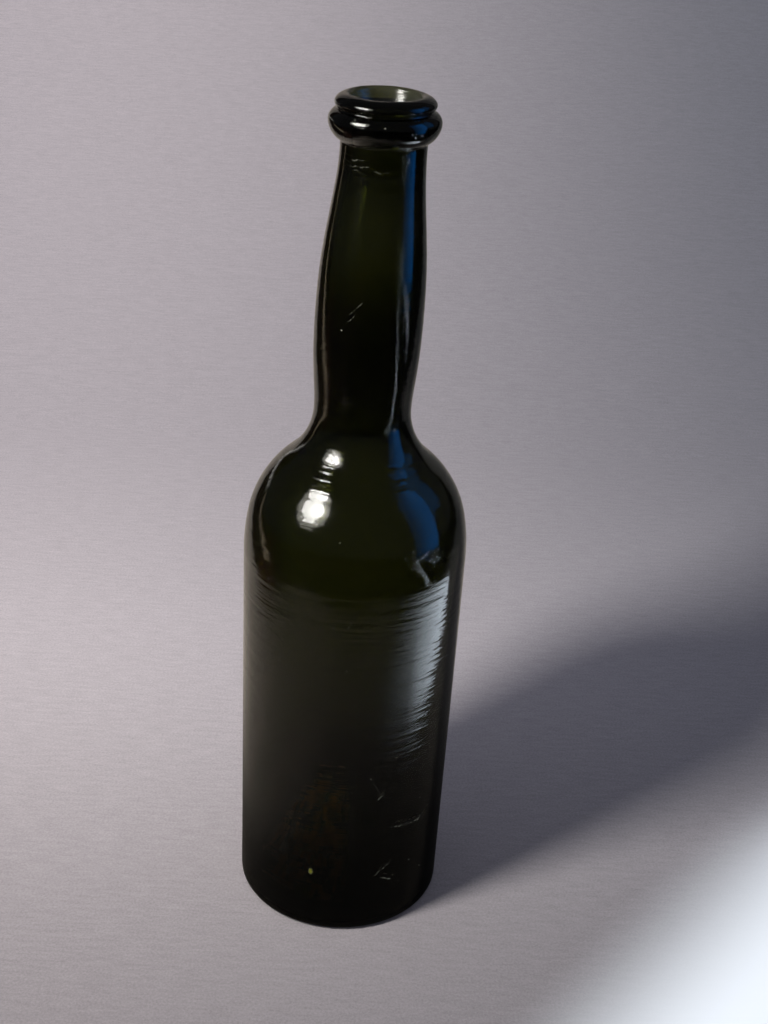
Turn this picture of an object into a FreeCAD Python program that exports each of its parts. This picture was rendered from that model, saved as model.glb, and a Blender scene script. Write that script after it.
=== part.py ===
import FreeCAD, Part

import math
import os

import Sketcher
from FreeCAD import Vector

# A mouth-blown bottle of dark green glass, one piece of glass from rim to base.
# The gather was blown into a plain dip mould, which gave the straight side, slightly wider at the
# shoulder than at the base. The shoulder and the swelled, slightly leaning neck were shaped freely,
# the base was pushed up into a tall cone, and a lip of two rings was laid on hot and tooled.
# The bottle stands on z = 0, the middle of its base ring at the origin. Sizes are millimetres.

SIZES = (
    ("neck_root_height", 196.0, "base to the narrowest place, where the neck starts"),
    ("neck_length", 104.0, "that place to the rim"),
    ("base_diameter", 75.5, "outside, just above the heel"),
    ("body_diameter", 78.5, "outside, where the shoulder starts"),
    ("heel_radius", 3.0, "rounding of the outer edge of the base"),
    ("upper_curve_radius", 70.0, "slow curve at the top of the body"),
    ("upper_curve_rise", 15.0, "height of that slow curve"),
    ("shoulder_radius", 36.5, "the shoulder's own round"),
    ("neck_root_radius", 24.5, "hollow curve from shoulder to neck"),
    ("neck_root_diameter", 33.0, "outside of the narrowest place"),
    ("wall", 3.6, "glass in the side, the shoulder and the swelled neck"),
    ("kick_height", 36.0, "depth of the push-up, from outside"),
    ("kick_tip_radius", 9.0, "round end of the push-up"),
    ("base_ring_width", 3.75, "flat of the ring that the bottle stands on"),
    ("kick_edge_radius", 3.0, "rounding of that ring's inner edge"),
    ("kick_glass", 6.5, "glass in the push-up's tip"),
    ("floor_height", 8.0, "lowest point of the inside"),
    ("floor_radius", 3.5, "round of the trough about the push-up"),
    ("foot_share", 0.04, "share of the neck's length at which it is still narrow"),
    ("foot_diameter", 33.3, "outside there"),
    ("foot_lean", 0.1, "how far the neck's middle has moved to +X there"),
    ("low_share", 0.13, "share of the neck's length below the swell"),
    ("low_diameter", 34.85, "outside there"),
    ("low_lean", 0.3, "lean there"),
    ("belly_share", 0.32, "share of the neck's length at the swell"),
    ("belly_diameter", 35.95, "outside there"),
    ("belly_lean", 0.7, "lean there"),
    ("high_share", 0.48, "share of the neck's length above the swell"),
    ("high_diameter", 34.75, "outside there"),
    ("high_lean", 1.1, "lean there"),
    ("taper_share", 0.64, "share of the neck's length on its taper"),
    ("taper_diameter", 31.1, "outside there"),
    ("taper_lean", 1.6, "lean there"),
    ("top_share", 0.84, "share of the neck's length just under the lip"),
    ("top_diameter", 27.6, "outside there, and inside the lip"),
    ("rim_lean", 2.3, "lean of the neck's top, the lip and the bore"),
    ("ring_drop", 8.1, "rim to the widest place of the lower ring"),
    ("ring_reach", 1.85, "how much further out the lower ring stands than the upper"),
    ("ring_round", 3.6, "round of the lower ring"),
    ("ring_under_round", 7.0, "round of the lower ring's underside"),
    ("groove_depth", 0.7, "how far the groove between the rings lies under the upper one"),
    ("collar_drop", 2.7, "rim to the widest place of the upper ring"),
    ("collar_reach", 3.8, "rim's crest to the outside of the upper ring"),
    ("collar_round", 1.6, "round of the upper ring's edge"),
    ("crest_reach", 2.45, "bore to the rim's highest circle"),
    ("mouth_round", 1.3, "rounding from the rim into the mouth"),
    ("flare_depth", 5.0, "rim to the end of the mouth's flare"),
    ("bore_diameter", 19.5, "straight bore that takes the cork"),
    ("bore_length", 25.0, "rim to the lower end of the bore"),
)

size = {alias: value for alias, value, meaning in SIZES}

doc = FreeCAD.newDocument("Bottle")
sheet = doc.addObject("Spreadsheet::Sheet", "Sizes")
for row, (alias, value, meaning) in enumerate(SIZES, start=1):
    sheet.set(f"A{row}", meaning)
    sheet.set(f"B{row}", str(value))
    sheet.setAlias(f"B{row}", alias)
doc.recompute()

body = doc.addObject("PartDesign::Body", "Bottle")
body.Label = "bottle"

# A sketch's own origin and axes, by the numbers that constraints know them by.
ORIGIN = (-1, 1)
AXIS = {"level": -1, "upright": -2}


def origin_plane(role):
    """Gives one of the body's own origin planes."""
    return next(part for part in body.Origin.OriginFeatures if part.Role == role)


def new_sketch(name, role):
    """Starts a sketch on an origin plane of the body."""
    sketch = body.newObject("Sketcher::SketchObject", name)
    sketch.AttachmentSupport = (origin_plane(role), [""])
    sketch.MapMode = "FlatFace"
    return sketch


def flat(point):
    """A sketch point from a pair of numbers: out from the axis, and up."""
    return Vector(point[0], point[1], 0)


def step(start, angle, length):
    """The point that lies a length away from another, at an angle in radians."""
    return (start[0] + length * math.cos(angle), start[1] + length * math.sin(angle))


class Outline:
    """A closed outline in a sketch, drawn edge by edge, each one joined to the last."""

    def __init__(self, sketch, start):
        self.sketch = sketch
        self.first = start
        self.place = start
        self.edges = []

    def line(self, end, smooth=False):
        """Draws a straight edge to a point."""
        edge = self.sketch.addGeometry(Part.LineSegment(flat(self.place), flat(end)), False)
        return self.join(edge, 1, 2, end, smooth)

    def arc(self, centre, end, clockwise, smooth=True):
        """Draws an arc about a centre to a point."""
        first, last = (
            math.atan2(point[1] - centre[1], point[0] - centre[0]) for point in (self.place, end)
        )
        circle = Part.Circle(flat(centre), Vector(0, 0, 1), math.dist(centre, end))
        if clockwise:
            edge = self.sketch.addGeometry(Part.ArcOfCircle(circle, last, first), False)
            return self.join(edge, 2, 1, end, smooth)
        edge = self.sketch.addGeometry(Part.ArcOfCircle(circle, first, last), False)
        return self.join(edge, 1, 2, end, smooth)

    def join(self, edge, head, tail, end, smooth):
        """Joins an edge's head to the tail of the edge before it."""
        if self.edges:
            before, before_head, before_tail = self.edges[-1]
            self.tie("Tangent" if smooth else "Coincident", before, before_tail, edge, head)
        self.edges.append((edge, head, tail))
        self.place = end
        return edge

    def close(self):
        """Joins the last edge's tail to the first edge's head."""
        (last, last_head, last_tail), (first, first_head, first_tail) = self.edges[-1], self.edges[0]
        self.tie("Coincident", last, last_tail, first, first_head)

    def head(self, edge):
        """The edge with the number of its first point, as constraints take them."""
        return next((e, head) for e, head, tail in self.edges if e == edge)

    def tail(self, edge):
        """The edge with the number of its last point."""
        return next((e, tail) for e, head, tail in self.edges if e == edge)

    def centre(self, arc):
        """The arc with the number of its centre, as constraints take them."""
        return arc, 3

    def tie(self, kind, *where):
        """Adds a constraint that has no size."""
        self.sketch.addConstraint(Sketcher.Constraint(kind, *where))

    def drive(self, name, kind, where, value, rule):
        """Adds a dimension with a name, and binds it to the sheet."""
        number = self.sketch.addConstraint(Sketcher.Constraint(kind, *where, value))
        self.sketch.renameConstraint(number, name)
        self.sketch.setExpression("Constraints." + name, rule)

    def out(self, name, point, value, rule):
        """Sets a point's distance from the upright axis."""
        self.drive(name, "DistanceX", ORIGIN + point, value, rule)

    def up(self, name, point, value, rule):
        """Sets a point's height in the sketch."""
        self.drive(name, "DistanceY", ORIGIN + point, value, rule)

    def radius(self, name, edge, value, rule):
        """Sets an arc's radius."""
        self.drive(name, "Radius", (edge,), value, rule)


def cross_tangent(upper, upper_radius, lower, lower_radius):
    """The line that runs down past the right of one circle and the left of another."""
    run = (lower[0] - upper[0], lower[1] - upper[1])
    turn = math.asin((upper_radius + lower_radius) / math.hypot(*run))
    normal = math.atan2(run[1], run[0]) - turn + math.pi / 2
    return step(upper, normal, upper_radius), step(lower, normal, -lower_radius)


# The side, the shoulder and the neck's root are drawn twice, for the outside and for the hollow.
# The hollow is the same outline moved inwards by the wall.


def draw_shoulder(outline, inset):
    """Draws the side line, the three shoulder arcs and the way back to the outline's start."""
    first_point = outline.first
    foot_radius = outline.place[0]
    depth = size["wall"] * inset
    shift = f" - {inset} * Sizes.wall"
    slow = size["upper_curve_radius"] - depth
    quick = size["shoulder_radius"] - depth
    hollow = size["neck_root_radius"] + depth
    body_radius = size["body_diameter"] / 2 - depth
    root_radius = size["neck_root_diameter"] / 2 - depth
    root_height = size["neck_root_height"]
    rise = size["upper_curve_rise"] * slow / size["upper_curve_radius"]

    # Worked out for an upright side; the sketch then leans it by its small taper.
    turn = math.asin(rise / slow)
    slow_reach = slow * (1 - math.cos(turn))
    bend = math.acos(
        (root_radius - body_radius + slow_reach + quick * math.cos(turn) + hollow)
        / (quick + hollow)
    )
    hollow_centre = (root_radius + hollow, root_height)
    hollow_start = step(hollow_centre, bend, -hollow)
    quick_centre = step(hollow_start, bend, -quick)
    quick_start = step(quick_centre, turn, quick)
    slow_centre = step(quick_start, turn, -slow)
    side_top = (slow_centre[0] + slow, slow_centre[1])

    side_line = outline.line(side_top, smooth=True)
    slow_arc = outline.arc(slow_centre, quick_start, clockwise=False)
    quick_arc = outline.arc(quick_centre, hollow_start, clockwise=False)
    hollow_arc = outline.arc(hollow_centre, (root_radius, root_height), clockwise=True)
    ceiling = outline.line((0, root_height))
    axis = outline.line(first_point)
    outline.close()

    outline.tie("Horizontal", ceiling)
    outline.tie("PointOnObject", *outline.head(axis), AXIS["upright"])
    outline.tie("PointOnObject", *outline.tail(axis), AXIS["upright"])
    outline.tie("Horizontal", *outline.centre(hollow_arc), *outline.tail(hollow_arc))
    outline.out("side_foot", outline.head(side_line), foot_radius,
                "Sizes.base_diameter / 2" + shift)
    outline.out("side_top", outline.tail(side_line), body_radius,
                "Sizes.body_diameter / 2" + shift)
    outline.out("root", outline.tail(hollow_arc), root_radius,
                "Sizes.neck_root_diameter / 2" + shift)
    outline.up("root_level", outline.tail(hollow_arc), root_height, "Sizes.neck_root_height")
    outline.radius("slow_radius", slow_arc, slow, "Sizes.upper_curve_radius" + shift)
    outline.radius("quick_radius", quick_arc, quick, "Sizes.shoulder_radius" + shift)
    outline.radius("hollow_radius", hollow_arc, hollow,
                   f"Sizes.neck_root_radius + {inset} * Sizes.wall")
    outline.drive("slow_rise", "DistanceY", outline.tail(side_line) + outline.tail(slow_arc), rise,
                  f"Sizes.upper_curve_rise * (1 - {inset} * Sizes.wall / Sizes.upper_curve_radius)")


# The outside of the body: a flat base, a small round heel, the side and the shoulder.
body_sketch = new_sketch("BodyProfile", "XZ_Plane")
heel = size["heel_radius"]
base_radius = size["base_diameter"] / 2
outside = Outline(body_sketch, (0, 0))
base_line = outside.line((base_radius - heel, 0))
heel_arc = outside.arc((base_radius - heel, heel), (base_radius, heel), clockwise=False)
outside.tie("PointOnObject", *outside.head(base_line), AXIS["level"])
outside.tie("PointOnObject", *outside.tail(base_line), AXIS["level"])
outside.radius("heel", heel_arc, heel, "Sizes.heel_radius")
draw_shoulder(outside, inset=0)

body_turned = body.newObject("PartDesign::Revolution", "BodyTurned")
body_turned.Profile = body_sketch
body_turned.ReferenceAxis = (body_sketch, ["V_Axis"])
body_turned.Angle = 360


def neck_section(name, place, inset=0):
    """Draws one level circle of the neck, moved inwards by the wall for the hollow."""
    diameter_alias, lean_alias, level_rule = place
    diameter = size[diameter_alias] - 2 * inset * size["wall"]
    sketch = new_sketch(name, "XY_Plane")
    circle = Part.Circle(Vector(0, 0, 0), Vector(0, 0, 1), diameter / 2)
    edge = sketch.addGeometry(circle, False)
    sketch.addConstraint(Sketcher.Constraint("Coincident", edge, 3, *ORIGIN))
    number = sketch.addConstraint(Sketcher.Constraint("Diameter", edge, diameter))
    sketch.renameConstraint(number, "diameter")
    sketch.setExpression("Constraints.diameter",
                         f"Sizes.{diameter_alias} - 2 * {inset} * Sizes.wall")
    sketch.setExpression("AttachmentOffset.Base.z", level_rule)
    if lean_alias:
        sketch.setExpression("AttachmentOffset.Base.x", "Sizes." + lean_alias)
    return sketch


def loft(kind, name, sections):
    """Joins sections by one smooth surface, as solid glass or as a hollow."""
    feature = body.newObject(kind, name)
    feature.Profile = sections[0]
    feature.Sections = sections[1:]
    feature.Ruled = False
    feature.Closed = False
    return feature


def on_the_neck(station, lean=None):
    """A station's diameter, lean and level, a share of the way up the neck."""
    level = f"Sizes.neck_root_height + Sizes.neck_length * Sizes.{station}_share"
    return f"{station}_diameter", lean or f"{station}_lean", level


RIM_LEVEL = "Sizes.neck_root_height + Sizes.neck_length"
STATIONS = ("foot", "low", "belly", "high", "taper")
neck_root = ("neck_root_diameter", None, "Sizes.neck_root_height")

# The outside of the neck: narrow at its root, swelled below its middle, slim under the lip.
neck_sections = [neck_section("NeckRoot", neck_root)]
for station in STATIONS:
    neck_sections.append(neck_section("Neck" + station.title(), on_the_neck(station)))
neck_sections.append(neck_section("NeckTop", on_the_neck("top", lean="rim_lean")))
neck_sections.append(
    neck_section("NeckInLip", ("top_diameter", "rim_lean", RIM_LEVEL + " - Sizes.ring_drop"))
)
neck = loft("PartDesign::AdditiveLoft", "Neck", neck_sections)

# The lip, turned about the neck's leaning top. Heights in its sketches count from the rim, and
# its widths build up from the bore, about which it was laid on.


def lip_sketch(name):
    """Starts an upright sketch whose own origin is the middle of the rim."""
    sketch = new_sketch(name, "XZ_Plane")
    sketch.setExpression("AttachmentOffset.Base.x", "Sizes.rim_lean")
    sketch.setExpression("AttachmentOffset.Base.y", RIM_LEVEL)
    return sketch


CREST = "Sizes.bore_diameter / 2 + Sizes.crest_reach"
COLLAR = CREST + " + Sizes.collar_reach"

lip_profile = lip_sketch("LipProfile")
bore = size["bore_diameter"] / 2
crest = bore + size["crest_reach"]
collar = crest + size["collar_reach"]
collar_round = size["collar_round"]
collar_centre = (collar - collar_round, -size["collar_drop"])
ring_round = size["ring_round"]
ring_centre = (collar + size["ring_reach"] - ring_round, -size["ring_drop"])
groove = collar - size["groove_depth"]
under_round = size["ring_under_round"]

# The rim's top curve starts level at the crest and runs into the upper ring's edge.
reach = collar_centre[0] - crest
drop = size["collar_drop"]
top_round = (reach**2 + drop**2 - collar_round**2) / (2 * (drop - collar_round))
top_centre = (crest, -top_round)
top_end = step(collar_centre, math.atan2(collar_centre[1] - top_centre[1], reach), collar_round)
groove_top = (groove, collar_centre[1] - math.sqrt(collar_round**2 - (groove - collar_centre[0])**2))
groove_foot = (groove, ring_centre[1] + math.sqrt(ring_round**2 - (groove - ring_centre[0])**2))
ring_end = step(ring_centre, 0, ring_round)
under_centre = step(ring_end, 0, -under_round)
inner_end = size["top_diameter"] / 2 - size["wall"] / 2
under_drop = math.sqrt(under_round**2 - (inner_end - under_centre[0])**2)
under_end = (inner_end, under_centre[1] - under_drop)

lip = Outline(lip_profile, (0, 0))
rim_line = lip.line((crest, 0))
top_arc = lip.arc(top_centre, top_end, clockwise=True)
collar_arc = lip.arc(collar_centre, groove_top, clockwise=True)
groove_line = lip.line(groove_foot)
ring_arc = lip.arc(ring_centre, ring_end, clockwise=True, smooth=False)
under_arc = lip.arc(under_centre, under_end, clockwise=True)
inner_line = lip.line((0, under_end[1]))
lip_axis = lip.line((0, 0))
lip.close()
lip.tie("Coincident", *lip.head(rim_line), *ORIGIN)
lip.tie("Horizontal", rim_line)
lip.tie("Vertical", groove_line)
lip.tie("Horizontal", inner_line)
lip.tie("Vertical", lip_axis)
lip.out("crest", lip.tail(rim_line), crest, CREST)
lip.radius("collar_edge", collar_arc, collar_round, "Sizes.collar_round")
lip.out("collar_out", lip.centre(collar_arc), collar_centre[0],
        COLLAR + " - Sizes.collar_round")
lip.drive("collar_down", "DistanceY", lip.centre(collar_arc) + ORIGIN, size["collar_drop"],
          "Sizes.collar_drop")
lip.out("groove", lip.head(groove_line), groove, COLLAR + " - Sizes.groove_depth")
lip.radius("ring_edge", ring_arc, ring_round, "Sizes.ring_round")
lip.out("ring_out", lip.centre(ring_arc), ring_centre[0],
        COLLAR + " + Sizes.ring_reach - Sizes.ring_round")
lip.drive("ring_down", "DistanceY", lip.centre(ring_arc) + ORIGIN, size["ring_drop"],
          "Sizes.ring_drop")
lip.tie("Horizontal", *lip.centre(ring_arc), *lip.tail(ring_arc))
lip.radius("underside", under_arc, under_round, "Sizes.ring_under_round")
lip.out("inside_neck", lip.tail(under_arc), inner_end, "(Sizes.top_diameter - Sizes.wall) / 2")

lip_turned = body.newObject("PartDesign::Revolution", "LipTurned")
lip_turned.Profile = lip_profile
lip_turned.ReferenceAxis = (lip_profile, ["V_Axis"])
lip_turned.Angle = 360

# The hollow of the body: a trough about the push-up, the side and the shoulder.
hollow_sketch = new_sketch("HollowProfile", "XZ_Plane")
wall = size["wall"]
tip_centre = (0, size["kick_height"] - size["kick_tip_radius"])
tip_inside = size["kick_tip_radius"] + size["kick_glass"]
trough = size["floor_radius"]
trough_centre = (base_radius - wall - trough, size["floor_height"] + trough)
cone_top, cone_foot = cross_tangent(tip_centre, tip_inside, trough_centre, trough)

inside = Outline(hollow_sketch, (0, tip_centre[1] + tip_inside))
tip_arc = inside.arc(tip_centre, cone_top, clockwise=True)
inside.line(cone_foot, smooth=True)
trough_arc = inside.arc(trough_centre, (base_radius - wall, trough_centre[1]), clockwise=False)
inside.tie("PointOnObject", *inside.centre(tip_arc), AXIS["upright"])
inside.radius("tip_inside", tip_arc, tip_inside, "Sizes.kick_tip_radius + Sizes.kick_glass")
inside.up("tip_level", inside.head(tip_arc), tip_centre[1] + tip_inside,
          "Sizes.kick_height + Sizes.kick_glass")
inside.radius("trough", trough_arc, trough, "Sizes.floor_radius")
inside.up("trough_level", inside.centre(trough_arc), trough_centre[1],
          "Sizes.floor_height + Sizes.floor_radius")
draw_shoulder(inside, inset=1)

body_hollow = body.newObject("PartDesign::Groove", "BodyHollow")
body_hollow.Profile = hollow_sketch
body_hollow.ReferenceAxis = (hollow_sketch, ["V_Axis"])
body_hollow.Angle = 360

# The hollow of the neck follows the outside at the wall's distance, and narrows to the bore.
hollow_sections = [neck_section("HollowRoot", neck_root, inset=1)]
for station in STATIONS:
    hollow_sections.append(neck_section("Hollow" + station.title(), on_the_neck(station), inset=1))
hollow_sections.append(
    neck_section("HollowTop", ("bore_diameter", "rim_lean", RIM_LEVEL + " - Sizes.bore_length"))
)
neck_hollow = loft("PartDesign::SubtractiveLoft", "NeckHollow", hollow_sections)

# The mouth: a straight bore for the cork, flared a little and rounded where it meets the rim.
mouth_profile = lip_sketch("MouthProfile")
mouth_round = size["mouth_round"]
mouth = Outline(mouth_profile, (0, -size["bore_length"]))
bore_foot = mouth.line((bore, -size["bore_length"]))
bore_line = mouth.line((bore, -size["flare_depth"]))
flare_line = mouth.line((crest - mouth_round, -mouth_round))
mouth_arc = mouth.arc((crest, -mouth_round), (crest, 0), clockwise=True, smooth=False)
mouth_top = mouth.line((0, 0))
mouth_axis = mouth.line((0, -size["bore_length"]))
mouth.close()
mouth.tie("Horizontal", bore_foot)
mouth.tie("Vertical", bore_line)
mouth.tie("Coincident", *mouth.tail(mouth_top), *ORIGIN)
mouth.tie("Horizontal", mouth_top)
mouth.tie("Vertical", mouth_axis)
mouth.tie("Vertical", *mouth.centre(mouth_arc), *mouth.tail(mouth_arc))
mouth.tie("Horizontal", *mouth.centre(mouth_arc), *mouth.head(mouth_arc))
mouth.out("bore", mouth.head(bore_line), bore, "Sizes.bore_diameter / 2")
mouth.drive("bore_down", "DistanceY", mouth.head(bore_line) + ORIGIN, size["bore_length"],
            "Sizes.bore_length")
mouth.drive("flare_down", "DistanceY", mouth.tail(bore_line) + ORIGIN, size["flare_depth"],
            "Sizes.flare_depth")
mouth.radius("mouth_round", mouth_arc, mouth_round, "Sizes.mouth_round")
mouth.out("mouth_crest", mouth.tail(mouth_arc), crest, CREST)

mouth_cut = body.newObject("PartDesign::Groove", "Mouth")
mouth_cut.Profile = mouth_profile
mouth_cut.ReferenceAxis = (mouth_profile, ["V_Axis"])
mouth_cut.Angle = 360

# The push-up: a tall cone with a round tip, and a rounded edge at the ring that the bottle
# stands on.
kick_sketch = new_sketch("KickProfile", "XZ_Plane")
edge_round = size["kick_edge_radius"]
edge_centre = (base_radius - heel - size["base_ring_width"], edge_round)
tip_radius = size["kick_tip_radius"]
kick_top, kick_foot = cross_tangent(tip_centre, tip_radius, edge_centre, edge_round)

kick = Outline(kick_sketch, (0, tip_centre[1] + tip_radius))
kick_tip = kick.arc(tip_centre, kick_top, clockwise=True)
kick.line(kick_foot, smooth=True)
kick_edge = kick.arc(edge_centre, (edge_centre[0], 0), clockwise=False)
kick_base = kick.line((0, 0), smooth=True)
kick_axis = kick.line((0, tip_centre[1] + tip_radius))
kick.close()
kick.tie("PointOnObject", *kick.centre(kick_tip), AXIS["upright"])
kick.tie("Coincident", *kick.tail(kick_base), *ORIGIN)
kick.tie("Horizontal", kick_base)
kick.tie("Vertical", kick_axis)
kick.radius("tip", kick_tip, tip_radius, "Sizes.kick_tip_radius")
kick.up("tip_level", kick.head(kick_tip), tip_centre[1] + tip_radius, "Sizes.kick_height")
kick.radius("edge", kick_edge, edge_round, "Sizes.kick_edge_radius")
kick.out("edge_out", kick.tail(kick_edge), edge_centre[0],
         "Sizes.base_diameter / 2 - Sizes.heel_radius - Sizes.base_ring_width")

push_up = body.newObject("PartDesign::Groove", "PushUp")
push_up.Profile = kick_sketch
push_up.ReferenceAxis = (kick_sketch, ["V_Axis"])
push_up.Angle = 360

body.Tip = push_up
doc.recompute()

for item in doc.Objects:
    if "Invalid" in item.State or "Error" in item.State:
        raise RuntimeError(f"{item.Name} failed: {item.State}")
if body.Shape.isNull() or not body.Shape.isValid() or len(body.Shape.Solids) != 1:
    raise RuntimeError("the bottle is not one sound solid")

os.makedirs("parts", exist_ok=True)
body.Shape.exportStep(f"parts/{body.Label}.step")
box = body.Shape.BoundBox
print(f"glass {body.Shape.Volume / 1000:.1f} cubic cm, height {box.ZMax - box.ZMin:.2f} mm")
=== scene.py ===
import math

import bpy
from mathutils import Matrix, Vector, noise


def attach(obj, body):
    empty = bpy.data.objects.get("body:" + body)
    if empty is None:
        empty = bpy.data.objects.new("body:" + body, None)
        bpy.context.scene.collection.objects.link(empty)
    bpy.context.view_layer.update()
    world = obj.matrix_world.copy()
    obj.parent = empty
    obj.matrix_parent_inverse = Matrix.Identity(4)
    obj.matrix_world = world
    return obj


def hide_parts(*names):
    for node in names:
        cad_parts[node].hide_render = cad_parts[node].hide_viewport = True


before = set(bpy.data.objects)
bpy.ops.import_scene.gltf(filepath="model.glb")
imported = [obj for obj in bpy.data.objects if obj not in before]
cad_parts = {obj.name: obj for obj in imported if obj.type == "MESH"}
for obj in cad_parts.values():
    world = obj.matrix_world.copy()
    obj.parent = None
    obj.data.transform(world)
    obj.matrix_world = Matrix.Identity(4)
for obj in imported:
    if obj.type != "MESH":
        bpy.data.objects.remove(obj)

scene = bpy.context.scene
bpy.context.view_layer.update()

# The bottle: one piece of very dark olive-green glass, blown into a plain dip mould that gave the
# straight side, then finished by hand. The shoulder and the swelled neck were drawn freely, the
# base was pushed up into a cone, and the two-ring lip was laid on hot and tooled against the bore.

MM = 0.001
SEGMENTS = 128


def straight(start, end, pieces):
    """Points along a straight stretch of the section, after its start and up to its end."""
    share = [(i + 1) / pieces for i in range(pieces)]
    return [(start[0] + (end[0] - start[0]) * s, start[1] + (end[1] - start[1]) * s) for s in share]


def bend(centre, start, end, pieces):
    """Points along an arc of the section, by the short way round its centre."""
    first = math.atan2(start[1] - centre[1], start[0] - centre[0])
    last = math.atan2(end[1] - centre[1], end[0] - centre[0])
    turn = (last - first + math.pi) % math.tau - math.pi
    radius = math.dist(centre, start)
    angles = [first + turn * (i + 1) / pieces for i in range(pieces)]
    return [(centre[0] + radius * math.cos(a), centre[1] + radius * math.sin(a)) for a in angles]


def through(table, height):
    """A smooth curve through a table of heights and values, read at one height."""
    if height <= table[0][0]:
        return table[0][1]
    if height >= table[-1][0]:
        return table[-1][1]
    i = max(k for k in range(len(table) - 1) if table[k][0] <= height)

    def slope(k):
        low, high = max(k - 1, 0), min(k + 1, len(table) - 1)
        return (table[high][1] - table[low][1]) / (table[high][0] - table[low][0])

    (z0, v0), (z1, v1) = table[i], table[i + 1]
    run = z1 - z0
    t = (height - z0) / run
    return (
        (2 * t**3 - 3 * t**2 + 1) * v0 + (t**3 - 2 * t**2 + t) * run * slope(i)
        + (3 * t**2 - 2 * t**3) * v1 + (t**3 - t**2) * run * slope(i + 1)
    )


def step(start, angle, length):
    """The point that lies a length away from another, at an angle in radians."""
    return start[0] + length * math.cos(angle), start[1] + length * math.sin(angle)


def cross_tangent(upper, upper_radius, lower, lower_radius):
    """Where one line touches two circles, on the upper one's right and the lower one's left."""
    run = lower[0] - upper[0], lower[1] - upper[1]
    turn = math.asin((upper_radius + lower_radius) / math.hypot(*run))
    normal = math.atan2(run[1], run[0]) - turn + math.pi / 2
    return step(upper, normal, upper_radius), step(lower, normal, -lower_radius)


def freehand(table, start, end, pieces):
    """Points along a drawn stretch from one height to another, with the radii of a table."""
    heights = [start + (end - start) * (i + 1) / pieces for i in range(pieces)]
    return [(through(table, height), height) for height in heights]


def ease(low, high, value):
    """0 below low, 1 above high, and smooth between them."""
    t = min(max((value - low) / (high - low), 0), 1)
    return t * t * (3 - 2 * t)


# The section runs from the push-up's tip out to the heel, up the outside, over the rim and down the
# inside. Its sizes are in millimetres: radii count from the axis, heights from the foot.
WALL = 3.6
SIDE_FOOT, SIDE_TOP, HEEL_ROUND, BASE_RING = 37.75, 39.25, 3, 3.75
KICK_HEIGHT, KICK_TIP, KICK_EDGE, KICK_GLASS = 36, 9, 3, 6.5
FLOOR_HEIGHT, FLOOR_ROUND = 8, 3.5

heel_centre = (SIDE_FOOT - HEEL_ROUND, HEEL_ROUND)
tip_centre = (0, KICK_HEIGHT - KICK_TIP)
edge_centre = (heel_centre[0] - BASE_RING, KICK_EDGE)
cone_top, cone_foot = cross_tangent(tip_centre, KICK_TIP, edge_centre, KICK_EDGE)
ring_inner, ring_outer = (edge_centre[0], 0), (heel_centre[0], 0)

# The side, then the slow curve at its top, the shoulder's own round and the hollow curve at the
# neck's root, which the hollow inside repeats at the wall's depth.
SLOW_ROUND, SLOW_RISE, SHOULDER_ROUND, ROOT_ROUND = 70, 15, 36.5, 24.5
NECK_FOOT, NECK_FOOT_RADIUS = 196, 16.5


def body_curve(depth, foot, foot_round):
    """The ends and the centres of the side and of its rounds up to the neck, at a depth."""
    slow, quick, hollow = SLOW_ROUND - depth, SHOULDER_ROUND - depth, ROOT_ROUND + depth
    root = (NECK_FOOT_RADIUS - depth, NECK_FOOT)
    root_centre = (root[0] + hollow, NECK_FOOT)
    lean = 0
    # The side's lean and its height hang on each other, and settle in a few rounds.
    for _ in range(4):
        turn = math.asin(SLOW_RISE / SLOW_ROUND - math.sin(lean))
        slow_reach = SIDE_TOP - depth - slow * math.cos(lean)
        quick_reach = slow_reach + (slow - quick) * math.cos(turn)
        aside = root_centre[0] - quick_reach
        below = math.sqrt((quick + hollow) ** 2 - aside**2)
        quick_centre = (quick_reach, NECK_FOOT - below)
        slow_centre = step(quick_centre, turn, quick - slow)
        side_foot, side_top = step(foot, -lean, foot_round), step(slow_centre, -lean, slow)
        lean = math.atan2(side_top[0] - side_foot[0], side_top[1] - side_foot[1])
    slow_end = step(slow_centre, turn, slow)
    quick_end = step(quick_centre, math.atan2(below, aside), quick)
    return side_foot, side_top, slow_centre, slow_end, quick_centre, quick_end, root_centre, root


heel_top, side_top, slow_centre, slow_end, quick_centre, quick_end, root_centre, root = (
    body_curve(0, heel_centre, HEEL_ROUND)
)
section = [(0, KICK_HEIGHT)]
section += bend(tip_centre, section[0], cone_top, 7)
section += straight(cone_top, cone_foot, 16)
section += bend(edge_centre, cone_foot, ring_inner, 5)
section += straight(ring_inner, ring_outer, 3)
section += bend(heel_centre, ring_outer, heel_top, 6)
section += straight(heel_top, side_top, 104)
section += bend(slow_centre, side_top, slow_end, 12)
section += bend(quick_centre, slow_end, quick_end, 24)
section += bend(root_centre, quick_end, root, 18)

# The drawn neck: heights with its radii outside, and with how far its middle leans to the right.
NECK_OUTSIDE = (
    (196, 16.5), (200, 16.64), (207, 17.22), (215, 17.75), (225, 17.98), (235, 17.89), (245, 17.44),
    (255, 16.48), (263, 15.5), (270, 14.66), (276, 14.1), (281, 13.84), (285, 13.82),
)
NECK_LEAN = (
    (190, 0.0), (196, 0.02), (205, 0.2), (215, 0.41), (230, 0.72), (245, 1.08), (255, 1.35),
    (265, 1.69), (275, 2.06), (282, 2.26), (287, 2.3),
)
NECK_DRAWN = 284.4
section += freehand(NECK_OUTSIDE, NECK_FOOT, NECK_DRAWN, 66)

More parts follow.
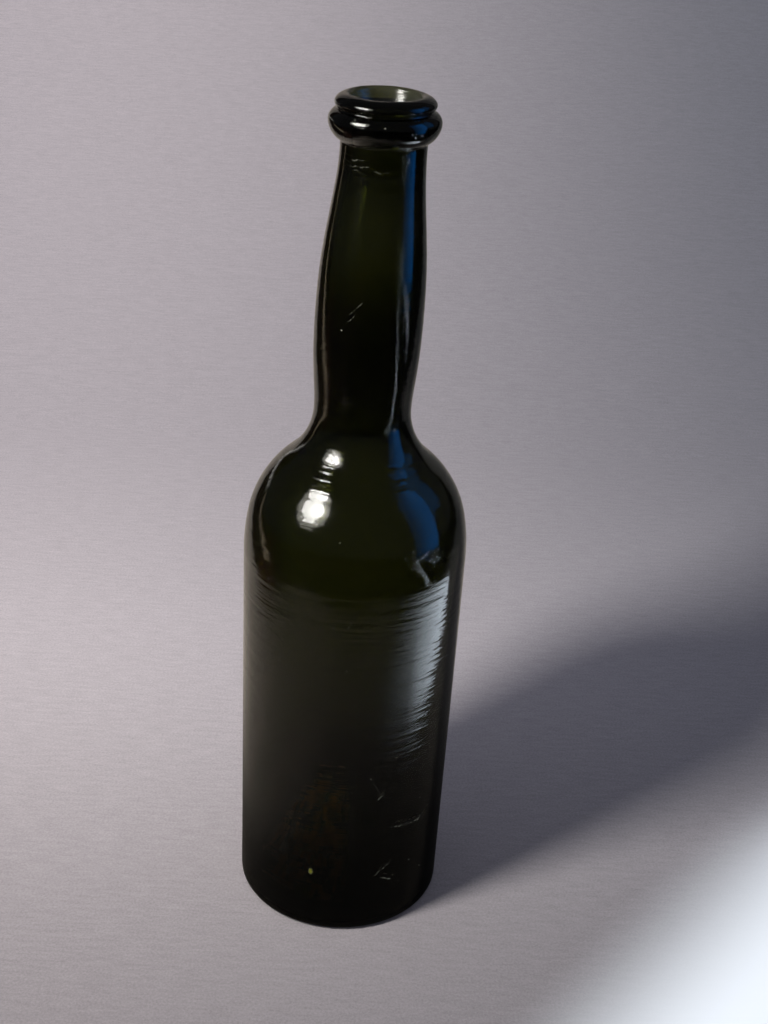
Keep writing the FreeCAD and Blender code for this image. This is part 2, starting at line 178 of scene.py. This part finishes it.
# The lip is laid on round the bore: a wide ring with a rounder underside, a groove, a collar with
# a rounded rim, and the mouth, which narrows to the bore.
RIM, BORE, BORE_FOOT, FLARE_DEPTH, MOUTH_ROUND = 300, 9.75, 280, 5, 1.3
CREST_REACH, COLLAR_REACH, COLLAR_DROP, COLLAR_ROUND, GROOVE_DEPTH = 2.45, 3.8, 2.7, 1.6, 0.7
RING_REACH, RING_DROP, RING_ROUND, RING_UNDER = 1.85, 8.1, 3.6, 7
NECK_TOP_RADIUS, LIP_FILLET = 13.81, 0.5

crest = (BORE + CREST_REACH, RIM)
collar_radius = crest[0] + COLLAR_REACH
groove = collar_radius - GROOVE_DEPTH
collar_centre = (collar_radius - COLLAR_ROUND, RIM - COLLAR_DROP)
ring_out = (collar_radius + RING_REACH, RIM - RING_DROP)
ring_centre = (ring_out[0] - RING_ROUND, ring_out[1])
under_centre = (ring_out[0] - RING_UNDER, ring_out[1])

fillet_radius = NECK_TOP_RADIUS + LIP_FILLET
fillet_drop = math.sqrt((RING_UNDER + LIP_FILLET) ** 2 - (fillet_radius - under_centre[0]) ** 2)
fillet_centre = (fillet_radius, under_centre[1] - fillet_drop)
neck_top = (NECK_TOP_RADIUS, fillet_centre[1])
ring_foot = step(
    under_centre, -math.atan2(fillet_drop, fillet_radius - under_centre[0]), RING_UNDER
)

ring_top = (groove, ring_centre[1] + math.sqrt(RING_ROUND**2 - (groove - ring_centre[0]) ** 2))
collar_foot = (
    groove, collar_centre[1] - math.sqrt(COLLAR_ROUND**2 - (groove - collar_centre[0]) ** 2)
)
rim_reach = collar_centre[0] - crest[0]
rim_round = (rim_reach**2 + COLLAR_DROP**2 - COLLAR_ROUND**2) / (2 * (COLLAR_DROP - COLLAR_ROUND))
rim_centre = (crest[0], RIM - rim_round)
collar_top = step(
    collar_centre, math.atan2(collar_centre[1] - rim_centre[1], rim_reach), COLLAR_ROUND
)
mouth_centre = (crest[0], RIM - MOUTH_ROUND)
mouth_edge = (crest[0] - MOUTH_ROUND, mouth_centre[1])

section.append(neck_top)
section += bend(fillet_centre, neck_top, ring_foot, 4)
section += bend(under_centre, ring_foot, ring_out, 13)
section += bend(ring_centre, ring_out, ring_top, 10)
section += straight(ring_top, collar_foot, 2)
section += bend(collar_centre, collar_foot, collar_top, 9)
section += bend(rim_centre, collar_top, crest, 7)
section += bend(mouth_centre, crest, mouth_edge, 6)
section += straight(mouth_edge, (BORE, RIM - FLARE_DEPTH), 4)
section += straight((BORE, RIM - FLARE_DEPTH), (BORE, BORE_FOOT), 10)

# The hollow follows the outside at the wall's depth, down to a round trough about the push-up.
NECK_INSIDE = (
    (196, 12.9), (200, 13.04), (207, 13.6), (215, 14.21), (225, 14.43), (235, 14.26), (245, 13.84),
    (255, 12.96), (263, 11.85), (270, 10.7), (275, 9.93), (280, 9.75),
)
tip_glass = KICK_TIP + KICK_GLASS
trough_centre = (SIDE_FOOT - WALL - FLOOR_ROUND, FLOOR_HEIGHT + FLOOR_ROUND)
cone_top, cone_foot = cross_tangent(tip_centre, tip_glass, trough_centre, FLOOR_ROUND)
side_foot, side_top, slow_centre, slow_end, quick_centre, quick_end, root_centre, root = (
    body_curve(WALL, trough_centre, FLOOR_ROUND)
)
section += freehand(NECK_INSIDE, BORE_FOOT, NECK_FOOT, 42)
section += bend(root_centre, root, quick_end, 12)
section += bend(quick_centre, quick_end, slow_end, 16)
section += bend(slow_centre, slow_end, side_top, 8)
section += straight(side_top, side_foot, 40)
section += bend(trough_centre, side_foot, cone_foot, 9)
section += straight(cone_foot, cone_top, 12)
section += bend(tip_centre, cone_top, (0, tip_centre[1] + tip_glass), 8)
section = [(radius * MM, height * MM) for radius, height in section]

# The section is drawn from one point, edge by edge, and turned about the bottle's axis.
bpy.ops.object.select_all(action="DESELECT")
bpy.ops.mesh.primitive_plane_add(size=MM, location=(0, 0, section[0][1]))
glass = bpy.context.active_object
glass.name = glass.data.name = "blown_bottle"
bpy.ops.object.transform_apply(location=True, rotation=False, scale=False)
bpy.ops.object.mode_set(mode="EDIT")
bpy.ops.mesh.select_all(action="SELECT")
bpy.ops.mesh.merge(type="CENTER")
for (r0, z0), (r1, z1) in zip(section, section[1:]):
    bpy.ops.mesh.extrude_region_move(TRANSFORM_OT_translate={"value": (r1 - r0, 0, z1 - z0)})
bpy.ops.mesh.select_all(action="SELECT")
bpy.ops.mesh.spin(steps=SEGMENTS, angle=math.tau, center=(0, 0, 0), axis=(0, 0, 1))
bpy.ops.mesh.select_all(action="SELECT")
bpy.ops.mesh.remove_doubles(threshold=0.01 * MM)
bpy.ops.mesh.normals_make_consistent(inside=False)
bpy.ops.object.mode_set(mode="OBJECT")
bpy.ops.object.shade_smooth()

# Hand work shows: the neck leans, the drawn glass is a little uneven, the mould left fine level
# ripples on the side, the tool left the lip slightly out of true, and the push-up is roughest.
# How far each reaches is in millimetres.
DRAWN_WAVE, WHOLE_WAVE, RIPPLE, LIP_WAVE, RIM_WAVE, PUSH_UP_WAVE = 0.12, 0.05, 0.028, 0.2, 0.3, 0.35
PUSH_UP_REACH, PUSH_UP_RISE = 31, 45


def uneven(around, fineness, level):
    """Noise from -1 to 1, by the way out from the axis and the level on it."""
    return noise.noise(around * fineness + Vector((0, 0, level)))


for vertex in glass.data.vertices:
    x, y, z = vertex.co / MM
    radius = math.hypot(x, y)
    if radius < 0.5:
        continue
    around = Vector((x, y, 0)) / radius
    below_lip = 1 - ease(284, 288, z)
    if radius < PUSH_UP_REACH and z < PUSH_UP_RISE:
        out = PUSH_UP_WAVE * uneven(around, 1.6, z / 14)
    else:
        out = DRAWN_WAVE * ease(140, 165, z) * below_lip * uneven(around, 1.3, z / 38)
        out += WHOLE_WAVE * uneven(around, 1.1, z / 60 + 9)
        out += RIPPLE * ease(1, 8, z) * below_lip * uneven(around, 1.7, z / 1.9 + 40)
        out += LIP_WAVE * (1 - below_lip) * uneven(around, 1.5, z / 6 + 21)
    out *= ease(0.2, 4, z)
    x += around.x * out + through(NECK_LEAN, z)
    y += around.y * out
    z += RIM_WAVE * ease(287, 294, z) * uneven(around, 1.2, 5)
    vertex.co = Vector((x, y, z)) * MM


class Wire:
    """A socket in a sum. Arithmetic on it adds Math nodes."""

    def __init__(self, finish, socket):
        self.finish = finish
        self.socket = socket

    def maths(self, operation, first, second):
        return self.finish.node("ShaderNodeMath", {"operation": operation}, {0: first, 1: second})

    def __add__(self, other):
        return self.maths("ADD", self, other)

    def __radd__(self, other):
        return self.maths("ADD", other, self)

    def __sub__(self, other):
        return self.maths("SUBTRACT", self, other)

    def __rsub__(self, other):
        return self.maths("SUBTRACT", other, self)

    def __mul__(self, other):
        return self.maths("MULTIPLY", self, other)

    def __rmul__(self, other):
        return self.maths("MULTIPLY", other, self)


class Finish:
    """The nodes of a material, the world or a lamp, one call for each."""

    def __init__(self, owner):
        owner.use_nodes = True
        self.tree = owner.node_tree
        self.tree.nodes.clear()

    def node(self, kind, settings=None, sockets=None, out=0):
        """Adds a node with its settings and its sockets' values or wires, and gives one output."""
        node = self.tree.nodes.new(kind)
        for name, value in (settings or {}).items():
            setattr(node, name, value)
        for name, value in (sockets or {}).items():
            if isinstance(value, Wire):
                self.tree.links.new(value.socket, node.inputs[name])
            else:
                node.inputs[name].default_value = value
        return Wire(self, node.outputs[out]) if len(node.outputs) else node

    def several(self, kind, sockets, names):
        """Adds a node and gives the outputs with these names."""
        outputs = self.node(kind, {}, sockets).socket.node.outputs
        return [Wire(self, outputs[name]) for name in names]

    def axes(self, names):
        """The piece's own coordinates along the named axes."""
        where = self.node("ShaderNodeTexCoord", out="Object")
        return self.several("ShaderNodeSeparateXYZ", {0: where}, names)

    def place(self, scale, shift=(0, 0, 0)):
        """The piece's own coordinates, stretched and moved."""
        where = self.node("ShaderNodeTexCoord", out="Object")
        return self.node("ShaderNodeMapping", {}, {
            "Vector": where, "Location": shift, "Scale": scale,
        })

    def cloud(self, scale, detail=2.0, shift=(0, 0, 0), rough=0.5):
        """Soft noise from 0 to 1. A scale is patches to the metre along each axis."""
        return self.node("ShaderNodeTexNoise", {}, {
            "Vector": self.place(scale, shift), "Scale": 1.0, "Detail": detail, "Roughness": rough,
        })

    def between(self, low, high, value):
        """0 below low and 1 above high, smooth between, or the other way round."""
        if low > high:
            return 1 - self.between(high, low, value)
        return self.node("ShaderNodeMapRange", {"interpolation_type": "SMOOTHSTEP"}, {
            "Value": value, "From Min": low, "From Max": high,
        })

    def unsigned(self, value):
        """The value without its sign."""
        return self.node("ShaderNodeMath", {"operation": "ABSOLUTE"}, {0: value})

    def larger(self, first, second):
        """The larger of two values."""
        return self.node("ShaderNodeMath", {"operation": "MAXIMUM"}, {0: first, 1: second})

    def distance(self, first, second):
        """How far a place is from an axis, by its two distances across that axis."""
        return self.node("ShaderNodeMath", {"operation": "SQRT"}, {
            0: first * first + second * second,
        })

    def tint(self, share, first, second):
        """A colour from the first, at a share of 0, to the second, at a share of 1."""
        return self.node("ShaderNodeMix", {"data_type": "RGBA"}, {
            0: share, 6: first, 7: second,
        }, out=2)


dark_glass = bpy.data.materials.new("dark_glass")
look = Finish(dark_glass)
side, depth, height = look.axes("XYZ")
reach = look.distance(side, depth)

# Below the line where the mould ended, the surface is drawn into fine level ripples. The drawn glass
# above it is smoother, with a few folds beside the middle of the shoulder's top, and inside the
# mouth it is rubbed dull by corks.
LIP_LEAN = NECK_LEAN[-1][1] * MM
mould_wave = look.cloud((30, 30, 60), 3) * 0.008
moulded = look.between(0.151, 0.145, height + mould_wave)
level_ripple = look.cloud((22, 22, 330), 3, rough=0.6)
fine_ripple = look.cloud((45, 45, 800), 2)
aside = look.unsigned(look.unsigned(side) - 0.0125)
drawn_fold = (
    look.between(0.1725, 0.1755, height) * look.between(0.1825, 0.18, height)
    * look.between(0.0075, 0.003, aside) * look.between(0.0, -0.006, depth)
)
pits = look.cloud((900, 900, 900), 1)
swirl = look.cloud((40, 40, 60), 2, shift=(3, 1, 7))
relief = (
    level_ripple * (0.12 + moulded * 0.62 + drawn_fold * 1.4)
    + fine_ripple * (0.42 + drawn_fold * 1.8) + swirl * 0.25 + pits * 0.012
)
surface = look.node("ShaderNodeBump", {}, {"Height": relief, "Strength": 0.35, "Distance": 0.0006})
lip_reach = look.distance(side - LIP_LEAN, depth)
rubbed_mouth = look.between(0.0125, 0.0116, lip_reach) * look.between(0.272, 0.28, height)
drawn = look.between(0.146, 0.152, height) * look.between(0.288, 0.284, height)

# Scratches and rubbed places scatter light: a few single scratches on the front, here with their
# middle, half length and slope in millimetres, seeds in the glass, and the worn ring of the base.
SCRATCHES = (
    (-5.6, 281.6, 2.4, 0.1), (-4.8, 279.9, 3.4, 0.12), (-5.7, 278.3, 1.4, -0.1),
    (2.0, 278.7, 2.6, 0.0), (-3.5, 236.0, 2.6, 1.1), (-5.0, 232.5, 1.6, 0.9),
    (23.6, 44.7, 6.4, -0.24), (29.0, 44.6, 1.2, 1.4), (12.0, 65.0, 2.6, -2.1),
    (14.0, 60.5, 1.7, 0.9), (16.0, 27.0, 3.2, 0.8), (18.0, 22.0, 2.6, -0.5),
)
SCRATCH_HALF_WIDTH, SCRATCH_CORE = 0.00026, 0.00005

wander = (look.cloud((420, 420, 420), 2) - 0.5) * 0.0022
scratched = 0.0
for scratch_side, scratch_height, half, slope in SCRATCHES:
    from_middle = side - scratch_side * MM
    off_line = look.unsigned(height + wander - from_middle * slope - scratch_height * MM)
    trace = (
        look.between(SCRATCH_HALF_WIDTH, SCRATCH_CORE, off_line)
        * look.between(half * MM, half * 0.5 * MM, look.unsigned(from_middle))
    )
    scratched = trace + scratched
broken = look.between(0.35, 0.6, look.cloud((700, 700, 700), 2))
scratched = scratched * look.between(0.0, -0.004, depth) * broken
specks = look.node("ShaderNodeTexVoronoi", {}, {
    "Vector": look.place((190, 190, 190)), "Scale": 1.0,
}, out="Distance")
speck_places = look.between(0.5, 0.6, look.cloud((60, 60, 60), 2, shift=(5, 5, 0)))
speck = look.between(0.075, 0.03, specks) * speck_places
rubbed = look.between(0.0009, 0.0002, height)
# Scratches right of the middle are mixed in stronger, a painted highlight where they catch light.
marks = (
    scratched * (0.22 + look.between(0.008, 0.018, side) * 0.5) + speck * 0.5 + rubbed * 0.3
    + rubbed_mouth * 0.07
)

# A painted glint low on the left: a small yellow-green spot in the dull finish stands in for light
# that shines through the glass there.
painted_glint_side, painted_glint_rise = (side + 0.0099) * 1.7, height - 0.0265
painted_glint = (
    look.between(0.0018, 0.0006, look.distance(painted_glint_side, painted_glint_rise))
    * look.between(0.0, -0.01, depth)
)

# A reddish-brown crust dried on the push-up's flank inside.
inside_cone = look.between(0.047, 0.051, height + reach * 1.6) * look.between(0.031, 0.029, reach)
crust_patch = look.between(0.4, 0.56, look.cloud((150, 150, 150), 5, rough=0.65))
crust = (
    inside_cone * crust_patch * look.between(0.006, 0.0, side)
    * look.between(0.045, 0.0435, height)
)
crust_tone = look.tint(look.cloud((300, 300, 300), 3), (0.1, 0.035, 0.012, 1), (0.95, 0.36, 0.13, 1))

# The glass is thickest, and lets the least light through, at the neck's root and at the heel.
thick = (
    look.between(0.242, 0.222, height) * look.between(0.184, 0.2, height)
    + look.between(0.052, 0.03, height)
)
clear_tint = look.tint(thick, (0.93, 0.95, 0.86, 1), (0.42, 0.42, 0.42, 1))
clear = look.node("ShaderNodeBsdfPrincipled", {}, {
    "Base Color": clear_tint, "Transmission Weight": 1.0, "IOR": 1.52,
    "Roughness": 0.045 + drawn * 0.045 + rubbed_mouth * 0.12, "Normal": surface,
})
# The dull finish turns yellow-green at the painted glint.
bare = look.tint(painted_glint, (0.42, 0.43, 0.33, 1), (0.5, 0.52, 0.04, 1))
dull = look.node("ShaderNodeBsdfPrincipled", {}, {
    "Base Color": look.tint(crust, bare, crust_tone), "Roughness": 0.75,
})
mixed = look.node("ShaderNodeMixShader", {}, {
    0: marks * (1 - crust) + crust * 0.95 + painted_glint * 0.32, 1: clear, 2: dull,
})
depth_tint = look.node("ShaderNodeVolumeAbsorption", {}, {
    "Color": (0.44, 0.46, 0.16, 1), "Density": 950.0,
})
look.node("ShaderNodeOutputMaterial", {}, {"Surface": mixed, "Volume": depth_tint})

glass.data.materials.clear()
glass.data.materials.append(dark_glass)
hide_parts("bottle")
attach(glass, "root")

# The stand: a sheet of grey paper that lies flat under the bottle and curves up behind it. It ends
# a hand's width or two to the left, the right and the front, where a dark table shows in the
# glass. What the camera sees directly is paper all over, with painted light and shade on it.
SHEET_SIZE = 3.2
SWEEP_RADIUS = 1.3
SWEEP_TURN = math.radians(62)
SWEEP_STEPS = 24
WALL_LENGTH = 2
bpy.ops.object.select_all(action="DESELECT")
bpy.ops.mesh.primitive_plane_add(size=SHEET_SIZE, location=(0, -1.2, -0.0001))
sweep = bpy.context.active_object
sweep.name = "paper_sweep"
bpy.ops.object.transform_apply(location=True, rotation=False, scale=False)
bpy.ops.object.mode_set(mode="EDIT")
bpy.ops.mesh.select_mode(type="EDGE")
bpy.ops.mesh.select_all(action="DESELECT")
bpy.ops.object.mode_set(mode="OBJECT")
back = max(vertex.co.y for vertex in sweep.data.vertices)
for edge in sweep.data.edges:
    edge.select = all(sweep.data.vertices[i].co.y > back - MM for i in edge.vertices)
bpy.ops.object.mode_set(mode="EDIT")
turns = [SWEEP_TURN * (i + 0.5) / SWEEP_STEPS for i in range(SWEEP_STEPS)] + [SWEEP_TURN]
runs = [SWEEP_RADIUS * SWEEP_TURN / SWEEP_STEPS] * SWEEP_STEPS + [WALL_LENGTH]
for turn, run in zip(turns, runs):
    bpy.ops.mesh.extrude_edges_move(
        TRANSFORM_OT_translate={"value": (0, run * math.cos(turn), run * math.sin(turn))}
    )
bpy.ops.mesh.select_all(action="SELECT")
bpy.ops.mesh.normals_make_consistent(inside=False)
bpy.ops.object.mode_set(mode="OBJECT")
bpy.ops.object.shade_smooth()

paper = bpy.data.materials.new("grey_paper")
sheet = Finish(paper)
across, along = sheet.axes("XY")
right_end = across - along * 0.675 - 0.324
left_end = across + 0.262 + sheet.larger(along - 0.08, 0.0) * 0.42
on_paper = (
    sheet.between(-0.001, 0.001, left_end)
    * sheet.between(-0.259, -0.257, along)
    * sheet.between(0.001, -0.001, right_end)
)
RAYS = ("Is Camera Ray", "Is Transmission Ray", "Is Glossy Ray")
direct, through_glass, mirrored = sheet.several("ShaderNodeLightPath", {}, RAYS)
shown = sheet.larger(on_paper, sheet.larger(direct, through_glass))
fibre = sheet.cloud((1100, 1100, 1100), 3, rough=0.7) + sheet.cloud((90, 500, 90), 3) * 0.4
# Painted light on the paper: lighter and warmer on the left, towards the lamp, darker and bluer on
# the right, and darker towards the front, over the random grain of its fibres.
LIT_LEFT_END, SHADED_RIGHT_END = (0.77, 0.695, 0.695, 1), (0.19, 0.195, 0.22, 1)
tone = sheet.tint(sheet.between(-0.45, 0.45, across), LIT_LEFT_END, SHADED_RIGHT_END)
level = (0.5 + sheet.between(-0.14, 0.2, along) * 0.5) * (0.5 + fibre * 0.7)

# A pool of daylight is painted on the paper's right end, with no lamp that casts it. What the glass
# mirrors of it glows brighter than the paper, and where the camera sees it the paper is painted
# paler.
past_patch_end = across * 0.363 - along
from_shade = (across - 0.11) * 0.791 - (along + 0.08) * 0.611
patch = (
    sheet.between(0.0, 1.0, from_shade * (8 + sheet.between(-0.1, 0.05, along) * 60))
    * sheet.between(-0.003, 0.01, past_patch_end)
)
patch_glow = (
    patch * on_paper * sheet.between(-0.19, 0.04, along) * sheet.between(0.32, 0.265, across) * 3.9
)
painted_daylight = sheet.between(-0.042, 0.026, from_shade) * sheet.between(-0.02, 0.05, past_patch_end)

# Where only the glass sees it, the paper is painted darker close round the bottle's foot, a little
# less so on the left, and warmer: painted shade and colour in what the glass mirrors.
left_glow = sheet.between(-0.03, -0.09, across) * 0.05
echo = 0.13 + sheet.between(0.05, 0.24, sheet.distance(across, along) + left_glow) * 0.78
warmth = sheet.tint(mirrored, (1, 1, 1, 1), (1.0, 0.96, 0.78, 1))
tone = sheet.node("ShaderNodeVectorMath", {"operation": "MULTIPLY"}, {0: tone, 1: warmth})
tone = sheet.node("ShaderNodeVectorMath", {"operation": "SCALE"}, {
    0: tone, "Scale": level * (1 - mirrored * (1 - echo)),
})
# Where the camera sees it, the paper is painted pale blue-white in the pool of daylight.
tone = sheet.tint(painted_daylight * (1 - mirrored), tone, (0.86, 0.92, 0.96, 1))

# Beyond the paper is dark wood, with a redder end on the left. On it glow thin slits and dots of
# painted daylight and a painted warm line on the left, which only the glass sees: painted
# reflections that show as thin lines in the neck.
wood = sheet.tint(
    sheet.between(-0.262, -0.3, across), (0.012, 0.011, 0.01, 1), (0.05, 0.034, 0.024, 1)
)
red_end = (
    sheet.between(-0.262, -0.28, across) * sheet.between(-0.06, -0.02, along)
    * sheet.between(0.12, 0.08, along)
)
wood = sheet.tint(red_end, wood, (0.13, 0.062, 0.04, 1))
slit = (
    sheet.between(0.009, 0.003, sheet.unsigned(across + along - 0.6))
    * sheet.between(0.56, 0.6, across)
)
dots = (
    sheet.between(0.012, 0.004, sheet.unsigned(across + along - 0.275))
    * sheet.between(0.33, 0.35, across) * sheet.between(0.5, 0.55, sheet.cloud((40, 40, 40), 2))
)
warm = (
    sheet.between(0.05, 0.02, sheet.unsigned(across + along * 1.1 + 0.4))
    * sheet.between(-0.4, -0.43, across)
)
glow_tint = sheet.tint(warm, (0.82, 0.93, 1.05, 1), (1.0, 0.78, 0.5, 1))
mirrored_glow = (patch_glow + slit * 13 + dots * 9 + warm * 1.2) * mirrored
# The paper glows with the painted reflections, and faintly with the painted daylight where the
# camera sees it.
sheet.node("ShaderNodeOutputMaterial", {}, {"Surface": sheet.node("ShaderNodeBsdfPrincipled", {}, {
    "Base Color": sheet.tint(shown, wood, tone), "Roughness": 0.95, "Specular IOR Level": 0.1,
    "Emission Color": sheet.node("ShaderNodeVectorMath", {"operation": "SCALE"}, {
        0: glow_tint, "Scale": mirrored_glow + painted_daylight * direct * 0.1,
    }),
    "Emission Strength": 1.0,
})})
sweep.data.materials.append(paper)

# The room: dim all round, and darker still where the glass mirrors it. Only the camera, and what it
# sees through glass, meets a pale wall.
PALE_WALL, DIM_AIR = (0.4, 0.38, 0.39, 1), (0.26, 0.272, 0.33, 1)
DARK_ROOM = (0.045, 0.046, 0.048, 1)
room = bpy.data.worlds.new("room")
scene.world = room
air = Finish(room)
direct, through_glass, mirrored = air.several("ShaderNodeLightPath", {}, RAYS)
unlit = air.tint(mirrored, DIM_AIR, DARK_ROOM)
air.node("ShaderNodeOutputWorld", {}, {"Surface": air.node("ShaderNodeBackground", {}, {
    "Color": air.tint(air.larger(direct, through_glass), unlit, PALE_WALL), "Strength": 1.0,
})})

# The lights: one warm lamp near the bottle on the left lights the scene, with its light kept even
# over the paper. The others only show as reflections: a round lamp with a soft rim round it, and
# cool daylight from a tall window on the right.
BOTTLE_MIDDLE = Vector((0, 0, 0.16))


def panel(name, azimuth, elevation, distance, shape, glow, colour):
    """Adds a lamp that faces the bottle. Azimuth 0 is the camera's side, and + is to the right."""
    turn, rise = math.radians(azimuth), math.radians(elevation)
    way = Vector((
        math.sin(turn) * math.cos(rise), -math.cos(turn) * math.cos(rise), math.sin(rise),
    ))
    wide, high = shape
    data = bpy.data.lights.new(name, "AREA")
    data.shape = "DISK" if wide == high else "RECTANGLE"
    data.size, data.size_y = wide, high
    area = math.pi * wide**2 / 4 if wide == high else wide * high
    data.energy = glow * math.pi * area
    data.color = colour
    lamp = bpy.data.objects.new(name, data)
    lamp.location = BOTTLE_MIDDLE + way * distance
    lamp.rotation_euler = (-way).to_track_quat("-Z", "Y").to_euler()
    lamp.visible_camera = False
    scene.collection.objects.link(lamp)
    return lamp


def shine(finish, strength):
    """Gives a lamp's nodes the strength of its light."""
    finish.node("ShaderNodeOutputLight", {}, {
        "Surface": finish.node("ShaderNodeEmission", {}, {"Strength": strength}),
    })


key_lamp = panel("key_lamp", -48, 35, 0.3, (0.08, 0.08), 700, (1.0, 0.965, 0.935))
key_lamp.visible_glossy = False
spread = Finish(key_lamp.data)
shine(spread, spread.node("ShaderNodeLightFalloff", {}, {"Strength": 1.0}, out="Constant"))

REFLECTED = (
    ("lamp_core", -58, 35, 1.38, (0.58, 0.58), 17, (1.0, 0.98, 0.94)),
    ("lamp_rim", -58, 35, 1.42, (0.9, 0.9), 3.2, (1.0, 0.97, 0.86)),
    ("window", 77, 18, 0.85, (0.47, 0.98), 0.95, (0.015, 0.3, 1.0)),
    ("window_side", 103, 30, 0.85, (0.3, 0.5), 0.35, (0.03, 0.34, 1.0)),
    ("far_strip", -140, 4, 1.2, (0.5, 0.04), 1.5, (1.0, 0.97, 0.92)),
)
for lamp in REFLECTED:
    panel(*lamp).visible_diffuse = False

# The window is brighter towards its far side.
glazing = Finish(bpy.data.lights["window"])
pane_side = glazing.node("ShaderNodeSeparateXYZ", {}, {
    0: glazing.node("ShaderNodeNewGeometry", out="Parametric"),
}, out="X")
shine(glazing, 0.3 + glazing.between(0.0, 0.8, pane_side))

# The camera: a hand-held view from above, leaning slightly, as the photograph was taken.
PICTURE_HEIGHT = 1024
FOCAL_PIXELS = 1531.4
CAMERA_PLACE = (0, -0.48036, 0.39362)
yaw, pitch, roll = math.radians(1.13), math.radians(26.29), math.radians(3.57)
forward = Vector((
    math.sin(yaw) * math.cos(pitch), math.cos(yaw) * math.cos(pitch), -math.sin(pitch),
))
level_right = Vector((math.cos(yaw), -math.sin(yaw), 0))
level_up = level_right.cross(forward)
right = level_right * math.cos(roll) + level_up * math.sin(roll)
upwards = level_up * math.cos(roll) - level_right * math.sin(roll)
view = bpy.data.cameras.new("camera")
view.sensor_fit = "VERTICAL"
view.sensor_height = 36
view.lens = FOCAL_PIXELS * view.sensor_height / PICTURE_HEIGHT
view.clip_start = 0.01
camera = bpy.data.objects.new("camera", view)
camera.matrix_world = (
    Matrix.Translation(CAMERA_PLACE) @ Matrix((right, upwards, -forward)).transposed().to_4x4()
)
scene.collection.objects.link(camera)
scene.camera = camera
scene.view_settings.view_transform = "Standard"

bpy.context.view_layer.update()
